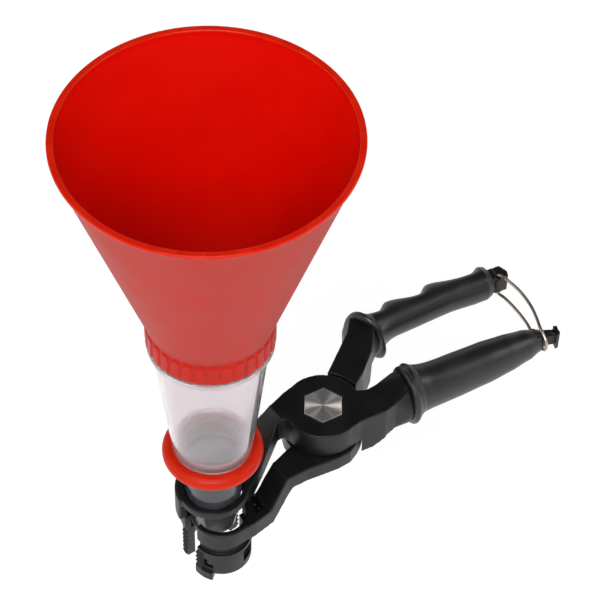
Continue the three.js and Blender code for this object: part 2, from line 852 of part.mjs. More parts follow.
function lowerLever() {
  const disc = cylinder(
    LOWER_DISC_R, LEVER_BOTTOM_Z, LOWER_TOP_Z, PIVOT.x, PIVOT.y, 72,
  );
  const body = join(disc, lowerArm(), frontBand(), rearShank(), core(rearLine));
  const bare = cut(
    body,
    common(cylinder(BAND_BORE_R, -1, 60, 0, FRONT_JAW_Y, 64), frontHalf(FRONT_JAW_Y)),
    bandPocket(),
    cylinder(BOLT_R + GAP, 0, 60, PIVOT.x, PIVOT.y),
    hexagon(HEX_RECESS_FLATS, 0, NUT_BODY_Z + 1.5),
    springSlot(),
    cylinder(BAIL_HOLE_R, 0, 60, BAIL_AXIS.x, BAIL_AXIS.y, 16),
  );
  return join(bare, rearHead());
}

// ---------------------------------------------------------------- pivot hardware
function pivotBolt() {
  const shank = cylinder(BOLT_R, LEVER_BOTTOM_Z, BOLT_HEAD_Z + 1, PIVOT.x, PIVOT.y, 32);
  return join(shank, hexagon(BOLT_FLATS, BOLT_HEAD_Z, LEVER_TOP_Z + 0.3));
}

function pivotNut() {
  return cut(
    hexagon(BOLT_FLATS, LEVER_BOTTOM_Z, NUT_BODY_Z),
    cylinder(BOLT_R + GAP, 0, 60, PIVOT.x, PIVOT.y),
  );
}

function washer(outer, z0, z1) {
  return tube(outer, BOLT_R + GAP, z0, z1, PIVOT.x, PIVOT.y, 32);
}

// Torsion spring round the bush: a coil with one leg turned up and one turned down.
class CoilPath extends THREE.Curve {
  getPoint(t) {
    const low = LEVER_MID_Z + SPRING_WIRE_R + GAP;
    const high = SPRING_POCKET_Z - SPRING_WIRE_R - GAP;
    const angle = Math.PI - t * SPRING_TURNS * 2 * Math.PI;
    return new THREE.Vector3(
      PIVOT.x + SPRING_R * Math.cos(angle),
      PIVOT.y + SPRING_R * Math.sin(angle),
      low + (high - low) * t,
    );
  }
}

function springLeg(t, length) {
  const foot = new CoilPath().getPoint(t);
  const z0 = Math.min(foot.z, foot.z + length);
  const z1 = Math.max(foot.z, foot.z + length);
  return cylinder(SPRING_WIRE_R, z0, z1, foot.x, foot.y, 12);
}

function torsionSpring() {
  const coil = pipe(new CoilPath(), SPRING_WIRE_R, 72, 3);
  return join(coil, springLeg(0, -2.8), springLeg(1, 2.8));
}

// ---------------------------------------------------------------- wire bail
// One bent wire: down into the rear head, along above the handles, round the neck of the
// front handle and back below them.
function bailPath() {
  const axis = BAIL_AXIS;
  const top = GRIP_Z + BAIL_HALF_H;
  const bottom = GRIP_Z - BAIL_HALF_H;
  const upperReach = [
    [198.9, 12],
    [199.3, 2],
    [197.6, -8.6],
    [194.6, -17.2],
    [192.0, -23],
  ];
  const lowerReach = [
    [191.8, -23],
    [194.0, -17.2],
    [196.6, -8.6],
    [198.0, 2],
    [198.2, 12],
  ];
  const points = [
    [axis.x, axis.y, top - 3.2],
    [axis.x, axis.y, top - 1.0],
    [axis.x + 0.6, axis.y - 1.7, top],
    ...upperReach.map(([x, y]) => [x, y, top]),
    [191.0, -27.4, top - 1.6],
    [190.5, -30.4, GRIP_Z + 2.8],
    [190.5, -30.4, GRIP_Z - 2.4],
    [191.0, -27.4, bottom + 1.6],
    ...lowerReach.map(([x, y]) => [x, y, bottom]),
    [axis.x + 0.3, axis.y - 1.7, bottom],
    [axis.x, axis.y, bottom + 1.0],
    [axis.x, axis.y, bottom + 3.2],
  ];
  return new THREE.CatmullRomCurve3(
    points.map(([x, y, z]) => new THREE.Vector3(x, y, z)), false, "centripetal",
  );
}

function wireBail() {
  return pipe(bailPath(), BAIL_WIRE_R, 64, 3);
}

// ---------------------------------------------------------------- assembly
const funnel = new THREE.Group();
const top = SPRING_POCKET_Z - GAP;

funnel.add(
  piece("funnel_bowl", funnelBowl(), redPlastic),
  piece("bowl_seal", bowlSeal(), sealRubber),
  piece("sight_tube", sightTube(), clearPlastic),
  piece("tube_nut", tubeNut(), nutPlastic),
  piece("spout_seal", spoutSeal(), sealRubber),
  piece("spout", spout(), smokyPlastic),
  piece("upper_lever", upperLever(), blackPlastic),
  piece("rear_jaw", rearJaw(), blackPlastic),
  piece("front_grip", frontGrip(), blackRubber),
  piece("lower_lever", lowerLever(), blackPlastic),
  piece("front_jaw", frontJaw(), blackPlastic),
  piece("rear_grip", rearGrip(), blackRubber),
  piece("pivot_bolt", pivotBolt(), steel),
  piece("head_washer", washer(9.2, BOLT_HEAD_Z - 1.0, BOLT_HEAD_Z - GAP), steel),
  piece("pivot_bush", washer(8.4, LEVER_MID_Z, top), steel),
  piece("torsion_spring", torsionSpring(), springSteel),
  piece("nut_washer", washer(9.2, NUT_BODY_Z + GAP, NUT_BODY_Z + 1.2), steel),
  piece("pivot_nut", pivotNut(), steel),
  piece("wire_bail", wireBail(), springSteel),
);

export default funnel;
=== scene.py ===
"""Clamp funnel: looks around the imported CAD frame. Millimetres in the tables, metres in the meshes."""
import math

import bmesh
import bpy
from mathutils import Matrix, Vector


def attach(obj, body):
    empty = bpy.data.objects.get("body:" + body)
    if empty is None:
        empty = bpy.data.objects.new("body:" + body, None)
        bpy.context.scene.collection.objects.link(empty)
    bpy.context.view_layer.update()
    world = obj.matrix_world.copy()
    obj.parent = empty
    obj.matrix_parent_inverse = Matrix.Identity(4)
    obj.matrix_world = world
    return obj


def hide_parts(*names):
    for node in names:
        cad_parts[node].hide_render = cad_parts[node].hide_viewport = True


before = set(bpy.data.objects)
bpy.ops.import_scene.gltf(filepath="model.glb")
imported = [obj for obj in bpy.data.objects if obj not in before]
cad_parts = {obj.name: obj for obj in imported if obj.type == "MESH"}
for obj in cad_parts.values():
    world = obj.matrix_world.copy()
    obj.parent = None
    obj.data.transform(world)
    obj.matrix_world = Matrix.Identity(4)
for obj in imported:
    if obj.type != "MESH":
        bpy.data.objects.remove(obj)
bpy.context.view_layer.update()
MM = 0.001
DEG = math.pi / 180
scene = bpy.context.scene

# ------------------------------------------------------------------ camera
FOCAL_MM = 142.1
DEPRESSION = 49.86 * DEG
HEADING = 37.2 * DEG      # how far round from the handles' line the camera stands
ROLL = 1.45 * DEG
RING_TOP = 26.5           # height of the ring top on the funnel axis
AIM_RIGHT = -0.03592      # where that point lies on the picture, right and up of its
AIM_UP = -0.07537         # centre, as a share of its distance
AIM_DISTANCE = 1200.5
SENSOR_MM = 36
SHIFT_RIGHT = 0.0072      # sideways shift of the lens, as a share of the sensor


def make_camera():
    forward = Vector((0, math.cos(DEPRESSION), -math.sin(DEPRESSION)))
    right = Vector((1, 0, 0))
    up = right.cross(forward)
    rolled_right = math.cos(ROLL) * right + math.sin(ROLL) * up
    rolled_up = math.cos(ROLL) * up - math.sin(ROLL) * right
    place = -(rolled_right * AIM_RIGHT + rolled_up * AIM_UP + forward) * AIM_DISTANCE
    turn = Matrix.Rotation(-HEADING, 3, "Z")
    place = turn @ place + Vector((0, 0, RING_TOP))
    axes = Matrix((turn @ rolled_right, turn @ rolled_up, turn @ -forward)).transposed()
    data = bpy.data.cameras.new("camera")
    data.lens = FOCAL_MM
    data.sensor_width = SENSOR_MM
    data.shift_x = SHIFT_RIGHT
    data.clip_start = 0.05
    data.clip_end = 50
    camera = bpy.data.objects.new("camera", data)
    scene.collection.objects.link(camera)
    camera.matrix_world = Matrix.Translation(place * MM) @ axes.to_4x4()
    scene.camera = camera


make_camera()
scene.view_settings.view_transform = "Standard"


# ------------------------------------------------------------------ materials
NOISE_LOW = 0.35          # span of the noise that a ramp spreads out
NOISE_HIGH = 0.65
COLOR_DETAIL = 4.0        # octaves of the noise for colours, and for relief
RELIEF_DETAIL = 2.0
MIX_COLOR_A = 6           # colour sockets of the mix node
MIX_COLOR_B = 7
MIX_COLOR_OUT = 2


def new_material(name, color, roughness, **sockets):
    """Principled material; further sockets are named with underscores for spaces."""
    material = bpy.data.materials.new(name)
    material.use_nodes = True
    shader = material.node_tree.nodes["Principled BSDF"]
    shader.inputs["Base Color"].default_value = (*color, 1)
    shader.inputs["Roughness"].default_value = roughness
    for key, value in sockets.items():
        shader.inputs[key.replace("_", " ")].default_value = value
    return material


def node(owner, kind, **values):
    """New shader node. A value named like a socket sets it, any other sets a property."""
    made = owner.node_tree.nodes.new(kind)
    for key, value in values.items():
        socket = key.replace("_", " ")
        if socket in made.inputs:
            made.inputs[socket].default_value = value
        else:
            setattr(made, key, value)
    return made


def link(owner, a, b):
    owner.node_tree.links.new(a, b)


def noise_texture(material, scale, detail, stretch=(1, 1, 1)):
    """Noise in object space; scale is in cycles a metre."""
    place = node(material, "ShaderNodeTexCoord")
    mapping = node(material, "ShaderNodeMapping", Scale=stretch)
    texture = node(material, "ShaderNodeTexNoise", Scale=scale, Detail=detail)
    link(material, place.outputs["Object"], mapping.inputs["Vector"])
    link(material, mapping.outputs["Vector"], texture.inputs["Vector"])
    return texture.outputs["Fac"]


def ramp(material, value, low, high):
    """Spreads the middle of the noise between two values."""
    made = node(
        material, "ShaderNodeMapRange",
        From_Min=NOISE_LOW, From_Max=NOISE_HIGH, To_Min=low, To_Max=high,
    )
    link(material, value, made.inputs["Value"])
    return made.outputs["Result"]


def mix_colors(material, value, first, second):
    made = node(material, "ShaderNodeMix", data_type="RGBA")
    made.inputs[MIX_COLOR_A].default_value = (*first, 1)
    made.inputs[MIX_COLOR_B].default_value = (*second, 1)
    link(material, value, made.inputs["Factor"])
    return made.outputs[MIX_COLOR_OUT]


def shader_of(material):
    return material.node_tree.nodes["Principled BSDF"]


def vary(material, scale, first, second, roughness):
    """Slow variation of colour, and of roughness between two values."""
    value = noise_texture(material, scale, COLOR_DETAIL)
    color = mix_colors(material, ramp(material, value, 0, 1), first, second)
    shader = shader_of(material)
    link(material, color, shader.inputs["Base Color"])
    link(material, ramp(material, value, *roughness), shader.inputs["Roughness"])


def grain(material, scale, height, stretch=(1, 1, 1), coarse=None):
    """Fine surface relief of a height in metres, over a coarse one of (scale, height)."""
    value = noise_texture(material, scale, RELIEF_DETAIL, stretch)
    bump = node(material, "ShaderNodeBump", Strength=1.0, Distance=height)
    link(material, value, bump.inputs["Height"])
    if coarse:
        coarse_scale, coarse_height = coarse
        below = node(material, "ShaderNodeBump", Strength=1.0, Distance=coarse_height)
        value = noise_texture(material, coarse_scale, RELIEF_DETAIL)
        link(material, value, below.inputs["Height"])
        link(material, below.outputs["Normal"], bump.inputs["Normal"])
    link(material, bump.outputs["Normal"], shader_of(material).inputs["Normal"])


def red_materials():
    made = {}

    # Darker copy of the bowl's red for its outside: painted shade, as the bowl is one red moulding. The
    # frosted roughness and grain are its real finish.
    red_out = new_material("red_frosted_painted_shade", (0.385, 0.012, 0.003), 0.58, Specular_IOR_Level=0.30)
    vary(red_out, 60, (0.40, 0.014, 0.004), (0.37, 0.010, 0.002), (0.62, 0.54))
    grain(red_out, 1500, 0.00006, coarse=(220, 0.00005))
    made["red_out"] = red_out

    red_in = new_material("red_smooth", (0.58, 0.003, 0.0), 0.32, Specular_IOR_Level=0.16)
    vary(red_in, 25, (0.60, 0.003, 0.0), (0.56, 0.002, 0.0), (0.34, 0.28))
    grain(red_in, 400, 0.00001)
    made["red_in"] = red_in

    red_rim = new_material("red_rim", (0.52, 0.010, 0.001), 0.25, Specular_IOR_Level=0.14)
    vary(red_rim, 90, (0.54, 0.012, 0.002), (0.49, 0.008, 0.001), (0.3, 0.2))
    grain(red_rim, 500, 0.00002)
    made["red_rim"] = red_rim

    # Darker copy of the bowl's red for the skirt: painted shade under the bowl, as the skirt is part of
    # the same red moulding.
    red_skirt_painted_shade = new_material("red_skirt_painted_shade", (0.40, 0.008, 0.001), 0.35, Specular_IOR_Level=0.13)
    vary(red_skirt_painted_shade, 120, (0.42, 0.010, 0.002), (0.38, 0.007, 0.001), (0.4, 0.3))
    grain(red_skirt_painted_shade, 900, 0.00002)
    made["red_skirt_painted_shade"] = red_skirt_painted_shade

    nut = new_material("nut_red", (0.46, 0.014, 0.002), 0.33, Specular_IOR_Level=0.12)
    vary(nut, 110, (0.48, 0.016, 0.003), (0.43, 0.011, 0.001), (0.38, 0.28))
    grain(nut, 1300, 0.000015)
    made["nut"] = nut
    return made


def black_materials():
    made = {}

    black = new_material("black_moulded", (0.0036, 0.0033, 0.0035), 0.44, Specular_IOR_Level=0.31)
    vary(black, 70, (0.004, 0.0037, 0.0039), (0.003, 0.0027, 0.0029), (0.48, 0.38))
    grain(black, 1800, 0.000035, coarse=(260, 0.00006))
    made["black"] = black

    rubber = new_material("grip_rubber", (0.008, 0.0077, 0.0082), 0.4, Specular_IOR_Level=0.55)
    vary(rubber, 55, (0.010, 0.0097, 0.0102), (0.006, 0.0057, 0.006), (0.44, 0.34))
    grain(rubber, 1500, 0.00003, coarse=(180, 0.00008))
    made["rubber"] = rubber

    seal = new_material("seal_rubber", (0.008, 0.008, 0.008), 0.75)
    vary(seal, 200, (0.010, 0.010, 0.010), (0.006, 0.006, 0.006), (0.8, 0.68))
    grain(seal, 2500, 0.00003)
    made["seal"] = seal
    return made


def clear_materials():
    made = {}

    clear = new_material(
        "clear_tube", (0.88, 0.82, 0.845), 0.06, Transmission_Weight=0.9, IOR=1.47,
    )
    vary(clear, 40, (0.90, 0.84, 0.865), (0.86, 0.80, 0.825), (0.12, 0.05))
    grain(clear, 120, 0.00003)
    made["clear"] = clear

    smoky = new_material(
        "smoky_spout", (0.14, 0.136, 0.155), 0.14, Transmission_Weight=0.8, IOR=1.47,
    )
    vary(smoky, 60, (0.15, 0.146, 0.165), (0.125, 0.121, 0.14), (0.2, 0.1))
    grain(smoky, 150, 0.00004)
    made["smoky"] = smoky
    return made


def metal_materials():
    made = {}

    turned_steel = new_material(
        "turned_steel", (0.88, 0.86, 0.83), 0.38, Metallic=1.0, Anisotropic=0.9,
    )
    vary(turned_steel, 60, (0.90, 0.88, 0.85), (0.84, 0.82, 0.79), (0.42, 0.36))
    tangent = node(turned_steel, "ShaderNodeTangent", direction_type="RADIAL", axis="Z")
    link(turned_steel, tangent.outputs["Tangent"], shader_of(turned_steel).inputs["Tangent"])
    made["turned_steel"] = turned_steel

    steel = new_material("zinc_steel", (0.45, 0.44, 0.42), 0.35, Metallic=1.0)
    vary(steel, 200, (0.50, 0.49, 0.47), (0.38, 0.37, 0.36), (0.42, 0.3))
    grain(steel, 900, 0.00001)
    made["steel"] = steel

    wire = new_material("spring_wire", (0.42, 0.36, 0.31), 0.3, Metallic=1.0)
    vary(wire, 150, (0.46, 0.40, 0.35), (0.36, 0.31, 0.27), (0.36, 0.26))
    grain(wire, 1200, 0.000008, stretch=(1, 1, 0.2))
    made["wire"] = wire
    return made


MATERIALS = {**red_materials(), **black_materials(), **clear_materials(), **metal_materials()}


# ------------------------------------------------------------------ mesh helpers
CORNER_STEPS = 4          # steps round one corner of an outline
SHARP = 1e-4              # a corner radius below this is a sharp corner
WELD = 1e-6               # corners this close, in metres, are one
TUBE_RUN = 4              # longest straight run of the tube's and the spout's outlines


def finish_piece(obj, body, slot, *nodes):
    """Puts a piece on its body and hides the CAD nodes it stands in for. The slot is not used."""
    if nodes:
        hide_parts(*nodes)
    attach(obj, body)


def make_object(name, mesh, materials, smooth=True):
    for key in materials:
        mesh.materials.append(MATERIALS[key])
    if smooth:
        mesh.shade_smooth()
    obj = bpy.data.objects.new(name, mesh)
    scene.collection.objects.link(obj)
    return obj


def fillet(points):
    """Closed outline with round corners. Each point is (r, z, corner radius, tag)."""
    out = []
    count = len(points)
    for i, (r, z, radius, *tag) in enumerate(points):
        here = Vector((r, z))
        before = Vector(points[i - 1][:2]) - here
        after = Vector(points[(i + 1) % count][:2]) - here
        reach = min(radius, before.length * 0.49, after.length * 0.49)
        label = tag[0] if tag else 0
        if reach < SHARP:
            out.append((r, z, label))
            continue
        a = here + before.normalized() * reach
        b = here + after.normalized() * reach
        for k in range(CORNER_STEPS + 1):
            t = k / CORNER_STEPS
            p = a * (1 - t) ** 2 + here * (2 * t * (1 - t)) + b * t ** 2
            out.append((p.x, p.y, label))
    return out


def subdivide_outline(outline, limit):
    """Adds points so that no straight run is longer than limit(r, label)."""
    out = []
    for i, (r, z, label) in enumerate(outline):
        r2, z2, _ = outline[(i + 1) % len(outline)]
        pieces = max(1, math.ceil(math.hypot(r2 - r, z2 - z) / limit(r, label)))
        for k in range(pieces):
            t = k / pieces
            out.append((r + (r2 - r) * t, z + (z2 - z) * t, label))
    return out


def even_run(r, label):
    """The same limit everywhere, for the tube and the spout."""
    return TUBE_RUN


def revolve(name, outline, segments, materials, relief=None, center=(0, 0)):
    """Closed outline turned round a vertical axis. relief(angle, r, z) moves a point out."""
    mesh = bpy.data.meshes.new(name)
    verts = []
    for i in range(segments):
        angle = 2 * math.pi * i / segments
        c, s = math.cos(angle), math.sin(angle)
        for r, z, _ in outline:
            out = r + (relief(angle, r, z) if relief else 0)
            verts.append(((out * c + center[0]) * MM, (out * s + center[1]) * MM, z * MM))
    count = len(outline)
    area = sum(
        outline[i][0] * outline[(i + 1) % count][1] - outline[(i + 1) % count][0] * outline[i][1]
        for i in range(count)
    )
    faces = []
    labels = []
    for i in range(segments):
        j = (i + 1) % segments
        for k in range(count):
            m = (k + 1) % count
            quad = (i * count + k, j * count + k, j * count + m, i * count + m)
            faces.append(quad if area > 0 else quad[::-1])
            labels.append(outline[k][2])
    mesh.from_pydata(verts, [], faces)
    obj = make_object(name, mesh, materials)
    mesh.polygons.foreach_set("material_index", labels)
    mesh.update()
    return obj


def loft(name, rings):
    """Closed skin over rings of equal length, each a list of points in millimetres."""
    count = len(rings[0])
    verts = [tuple(Vector(p) * MM) for ring in rings for p in ring]
    faces = []
    for i in range(len(rings) - 1):
        here, there = i * count, (i + 1) * count
        for k in range(count):
            m = (k + 1) % count
            faces.append((here + k, here + m, there + m, there + k))
    faces.append(tuple(reversed(range(count))))
    faces.append(tuple((len(rings) - 1) * count + k for k in range(count)))
    mesh = bpy.data.meshes.new(name)
    mesh.from_pydata(verts, [], faces)
    work = bmesh.new()
    work.from_mesh(mesh)
    bmesh.ops.recalc_face_normals(work, faces=work.faces)
    work.to_mesh(mesh)
    work.free()
    return mesh


def soften(name, work, voxel, passes):
    """Uses up a bmesh: its skins become one, with edges and inner corners rounded."""
    mesh = bpy.data.meshes.new(name)
    work.to_mesh(mesh)
    work.free()
    obj = bpy.data.objects.new(name + "_work", mesh)
    scene.collection.objects.link(obj)
    remesh = obj.modifiers.new("remesh", "REMESH")
    remesh.mode = "VOXEL"
    remesh.voxel_size = voxel * MM
    smooth = obj.modifiers.new("smooth", "SMOOTH")
    smooth.iterations = passes
    graph = bpy.context.evaluated_depsgraph_get()
    result = bpy.data.meshes.new_from_object(obj.evaluated_get(graph))
    bpy.data.objects.remove(obj)
    result.materials.clear()
    return make_object(name, result, ["black"])


def moulded(name, source, voxel, passes, extra=(), shift=None):
    """Copy of a CAD solid with its edges and inner corners softened as a moulding's are.

    The extra skins are joined to it before that, so they flow into it without a seam.
    shift(x, y, z) may move its corners first, in millimetres.
    """
    work = bmesh.new()
    work.from_mesh(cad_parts[source].data)
    bmesh.ops.remove_doubles(work, verts=work.verts, dist=WELD)
    if shift:
        for vert in work.verts:
            vert.co = Vector(shift(*(vert.co / MM))) * MM
    for skin in extra:
        work.from_mesh(skin)
    return soften(name, work, voxel, passes)


# ------------------------------------------------------------------ funnel
RIM_Z = 276.5
RIM_R = 67.7
BOWL_OUT = 0              # material slots of the bowl, used as the tags of its outline
BOWL_RIM = 1
BOWL_SKIRT = 2
BOWL_IN = 3
SKIRT_R = 29.8
SKIRT_FOOT_Z = 144.95
RIB_COUNT = 31
RIB_PROUD = 0.75
RIB_HEAD_Z = 157.4        # a rib's round head, at its middle
RIB_HEAD_DROP = 1.7       # and how much lower it is at the rib's sides
RIB_SEGMENTS = 16         # segments of the turned bowl for each rib
RIB_RUN = 0.45            # longest straight run of the outline at the ribs, and elsewhere
BOWL_RUN = 6.0


def smoothstep(a, b, x):
    t = min(1.0, max(0.0, (x - a) / (b - a)))
    return t * t * (3 - 2 * t)


def skirt_relief(angle, r, z):
    """How far a point of the skirt's outside stands out, for its ribs."""
    if abs(r - SKIRT_R) > 0.5 or z > RIB_HEAD_Z + 0.8 or z < SKIRT_FOOT_Z + 0.05:
        return 0
    pitch = 2 * math.pi / RIB_COUNT
    across = ((angle / pitch) % 1 - 0.5) * 2
    side = 1 - smoothstep(0.66, 0.86, abs(across))
    head = RIB_HEAD_Z - RIB_HEAD_DROP * across * across
    top = 1 - smoothstep(head - 0.5, head + 0.3, z)
    foot = smoothstep(SKIRT_FOOT_Z + 0.25, SKIRT_FOOT_Z + 0.75, z)
    return RIB_PROUD * side * top * foot


def bowl_run(r, label):
    """Short runs up the ribs, long ones elsewhere."""
    return RIB_RUN if label == BOWL_SKIRT and r > SKIRT_R - 0.8 else BOWL_RUN


def make_bowl():
    outline = fillet([
        (64.6, RIM_Z - 0.1, 1.1, BOWL_RIM),
        (66.2, RIM_Z, 0.8, BOWL_RIM),
        (RIM_R, RIM_Z, 1.3, BOWL_RIM),
        (RIM_R, RIM_Z - 1.9, 0.9, BOWL_RIM),
        (66.35, RIM_Z - 2.5, 0.7, BOWL_OUT),
        (30.2, 159.4, 2.0, BOWL_OUT),
        (SKIRT_R, 158.6, 0.6, BOWL_SKIRT),
        (SKIRT_R, SKIRT_FOOT_Z, 0.5, BOWL_SKIRT),
        (27.6, SKIRT_FOOT_Z, 0.3, BOWL_SKIRT),
        (27.6, 158.0, 0.2, BOWL_IN),
        (24.6, 158.0, 0.2, BOWL_IN),
        (24.6, 146.6, 0.3, BOWL_IN),
        (22.5, 146.6, 0.3, BOWL_IN),
        (22.5, 159.4, 1.0, BOWL_IN),
        (27.7, 162.0, 2.0, BOWL_IN),
        (64.2, 274.0, 1.5, BOWL_IN),
    ])
    # The outside and the skirt take darker copies of the bowl's red, which is painted shade. The rim and
    # the inside take lighter reds.
    bowl = revolve(
        "bowl", subdivide_outline(outline, bowl_run), RIB_COUNT * RIB_SEGMENTS,
        ["red_out", "red_rim", "red_skirt_painted_shade", "red_in"], skirt_relief,
    )
    finish_piece(bowl, "bowl_body", "red_plastic", "funnel_bowl")


def make_tube():
    outline = fillet([
        (27.3, 156.2, 0.4),
        (27.3, 144.6, 0.3),
        (30.3, 144.6, 0.7),
        (30.3, 141.2, 0.9),
        (28.1, 141.2, 0.8),
        (19.8, 62.4, 0.6),
        (19.2, 61.6, 0.5),
        (16.4, 61.6, 0.2),
        (16.4, 52.7, 0.3),
        (14.4, 52.7, 0.3),
        (14.4, 64.2, 0.8),
        (16.4, 64.4, 0.3),
        (16.6, 65.8, 0.3),
        (17.0, 66.0, 0.3),
        (17.15, 67.4, 0.3),
        (17.5, 67.6, 0.3),
        (17.65, 69.0, 0.3),
        (18.05, 69.3, 0.5),
        (25.1, 141.2, 2.0),
        (25.1, 156.2, 0.4),
    ])
    tube = revolve("sight_tube_clear", subdivide_outline(outline, even_run), 160, ["clear"])
    finish_piece(tube, "tube_body", "clear_plastic", "sight_tube")


def make_nut():
    outline = fillet([
        (16.7, 61.3, 0.2),
        (21.9, 61.3, 0.5),
        (23.9, 60.2, 0.6),
        (24.9, 58.4, 0.9),
        (24.9, 56.0, 0.8),
        (24.0, 55.0, 0.6),
        (18.4, 55.0, 0.6),
        (18.4, 47.5, 0.7),
        (15.3, 47.5, 0.3),
        (15.3, 49.1, 0.2),
        (16.7, 49.1, 0.2),
    ])
    nut = revolve("ring_nut", outline, 160, ["nut"])
    finish_piece(nut, "nut_body", "nut_plastic", "tube_nut")


def make_spout():
    outline = fillet([
        (16.4, 51.1, 0.2),
        (16.4, 49.4, 0.2),
        (15.0, 49.4, 0.4),
        (14.5, 26.5, 0.5),
        (11.05, -0.7, 0.4),
        (9.55, -0.7, 0.4),
        (13.0, 26.5, 0.5),
        (13.5, 51.1, 0.5),
    ])
    spout = revolve("spout_smoky", subdivide_outline(outline, even_run), 128, ["smoky"])
    finish_piece(spout, "tube_body", "smoky_plastic", "spout")


# ------------------------------------------------------------------ handles
# Middle lines of the handles, from the shank to the end, in plan.
FRONT_LINE = [(104.6, -12.4), (120.4, -15.2), (145, -18.2), (170, -21.6), (194, -24.8)]
REAR_LINE = [(104, 22.5), (119, 31.4), (142, 29.6), (168, 26.4), (198, 20.8)]
GRIP_Z = 31.2             # height of both handles' middle lines


def catmull(points, t):
    """Point on a uniform Catmull-Rom spline through the points, t from 0 to 1."""
    place = (len(points) - 1) * t
    i = min(int(place), len(points) - 2)
    w = place - i
    p0, p1, p2, p3 = (
        Vector(points[max(0, min(len(points) - 1, i + k))]) for k in (-1, 0, 1, 2)
    )
    v0, v1 = (p2 - p0) / 2, (p3 - p1) / 2
    return (
        (2 * p1 - 2 * p2 + v0 + v1) * w ** 3 + (-3 * p1 + 3 * p2 - 2 * v0 - v1) * w ** 2
        + v0 * w + p1
    )


def direction(points, t):
    """Unit tangent of the spline, also at its ends."""
    step = 1e-3
    ahead = catmull(points, min(1, t + step))
    behind = catmull(points, max(0, t - step))
    return (ahead - behind).normalized()


def lookup(table, s):
    """Smooth value between the entries of a table of (place, value)."""
    for (a, va), (b, vb) in zip(table, table[1:]):
        if s <= b:
            t = max(0.0, min(1.0, (s - a) / (b - a)))
            return va + (vb - va) * (t * t * (3 - 2 * t) * 0.5 + t * 0.5)
    return table[-1][1]


GRIP_STEPS = 190
GRIP_SIDES = 72
GRIP_WIDTH = 0.95         # width and height of a section over its stated radius
GRIP_HEIGHT = 1.08
WAVE_RADIUS = 9           # radius at which a finger wave has its stated height
FLARE_ACROSS = 0.8        # direction that a flare swells towards: sideways, and up or down
FLARE_UP = 0.6
GUARD_END = 0.045         # where the guard ends along a grip, and where its crown has faded
CROWN_END = 0.1
CROWN_NARROWING = 0.8     # how much the guard narrows below, as a share of its crown


def make_grip(name, line, start, stop, radii, wave, flare, flare_side, crown=0):
    """Sleeve along a line from start to stop, with a guard at its root.

    Places s run from 0 to 1 along the sleeve. wave(s) moves its finger side out, flare(s)
    swells it on the flare side, 1 or -1, and crown raises the top of the guard.
    """
    stations = sorted({i / GRIP_STEPS for i in range(GRIP_STEPS + 1)} | {s for s, _ in radii})
    rings = []
    for s in stations:
        t = start + (stop - start) * s
        place = catmull(line, t)
        along = direction(line, t)
        r = lookup(radii, s)
        raised = crown * (1 - smoothstep(GUARD_END, CROWN_END, s))
        ring = []
        for k in range(GRIP_SIDES):
            angle = 2 * math.pi * k / GRIP_SIDES
            across = r * math.cos(angle)
            up = r * math.sin(angle)
            push = wave(s) * across / WAVE_RADIUS if across > 0 else 0
            facing = flare_side * (FLARE_ACROSS * math.cos(angle) + FLARE_UP * math.sin(angle))
            swell = 1 + flare(s) * max(0.0, facing) / r
            side = across * GRIP_WIDTH * swell + push
            if up > 0:
                up *= 1 + raised
            elif across > 0:
                side *= 1 + CROWN_NARROWING * raised * math.sin(angle)
            ring.append((
                place.x - along.y * side, place.y + along.x * side,
                GRIP_Z + up * GRIP_HEIGHT * swell,
            ))
        rings.append(ring)
    grip = make_object(name, loft(name, rings), ["rubber"])
    sides_only = [len(face.vertices) == 4 for face in grip.data.polygons]
    grip.data.polygons.foreach_set("use_smooth", sides_only)
    return grip


FIRST_FINGER_CREST = 0.33  # place of the first crest along the grip
FINGER_PITCH = 0.33
FINGER_RISE = 0.32         # steep share of a wave, on its side towards the guard
FINGER_HEIGHT = 2.7


def finger_wave(s):
    """Steep towards the guard, long and shallow towards the end."""
    share = ((s - FIRST_FINGER_CREST) / FINGER_PITCH) % 1
    fall = 1 - FINGER_RISE
    turn = 0.5 * share / fall if share < fall else 0.5 + 0.5 * (share - fall) / FINGER_RISE
    return smoothstep(0.05, 0.14, s) * FINGER_HEIGHT * math.cos(2 * math.pi * turn)


def straight_side(s):
    return 0


def flare_bump(s, height, first, peak, length, power):
    """Rises from first to peak along the grip, then fades out over the length."""
    return height * smoothstep(first, peak, s) * math.exp(-(max(0.0, s - peak) / length) ** power)


def thumb_flare(s):
    return flare_bump(s, 5.6, 0.03, 0.1, 0.09, 1.3)


def palm_flare(s):
    return flare_bump(s, 3.2, 0.05, 0.09, 0.16, 1.5)


FRONT_START = 0.1         # where each sleeve starts on its handle's line
REAR_START = 0.2
FRONT_RADII = [
    (0, 12.6), (0.004, 13.6), (0.012, 14.8), (0.026, 15.5), (0.042, 15.6), (0.056, 15.1),
    (0.07, 14.2), (0.09, 12.9), (0.13, 11.6), (0.2, 11.2), (0.4, 11.4), (0.6, 11.0),
    (0.75, 9.9), (0.87, 8.3), (0.95, 6.3), (0.985, 5.2), (1, 4.2),
]
REAR_RADII = [
    (0, 10.4), (0.004, 11.2), (0.014, 12.1), (0.03, 12.6), (0.045, 12.6), (0.06, 12.2),
    (0.075, 11.5), (0.1, 10.2), (0.15, 9.0), (0.3, 8.5), (0.45, 8.7), (0.6, 8.6),
    (0.75, 8.3), (0.88, 8.9), (0.95, 8.8), (0.985, 7.6), (1, 6.2),
]


